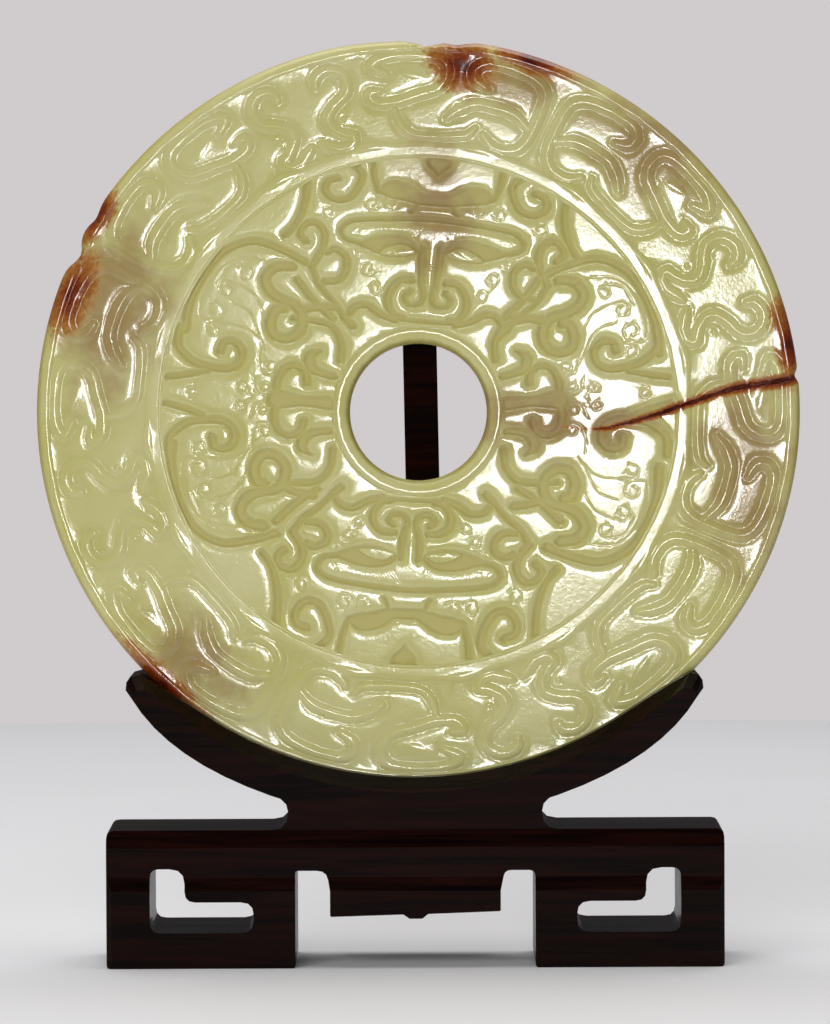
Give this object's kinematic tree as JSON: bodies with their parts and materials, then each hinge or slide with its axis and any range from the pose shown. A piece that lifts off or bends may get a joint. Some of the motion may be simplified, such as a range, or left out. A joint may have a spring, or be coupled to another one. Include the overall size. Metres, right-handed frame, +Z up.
{
  "type": "jade bi disc on a stand",
  "caption": "Carved jade bi disc with a round bore, leaning in the curved cradle of a fretted dark hardwood stand with a strip behind it",
  "frame": {"origin": "on the table, under the middle of the bounding box", "axes": "+Z up, the carved face looks along -Y, +X to the right as seen from the front"},
  "size_m": [0.1794, 0.036, 0.2163],
  "materials": {
    "jade": "hand-polished yellow-green jade with russet skin",
    "rosewood": "dark stained rosewood, waxed",
    "rosewood_strip": "dark stained rosewood, waxed"
  },
  "bodies": {
    "root": {"jade_disc": "jade", "stand": "rosewood", "back_strip": "rosewood_strip"}
  },
  "joints": []
}
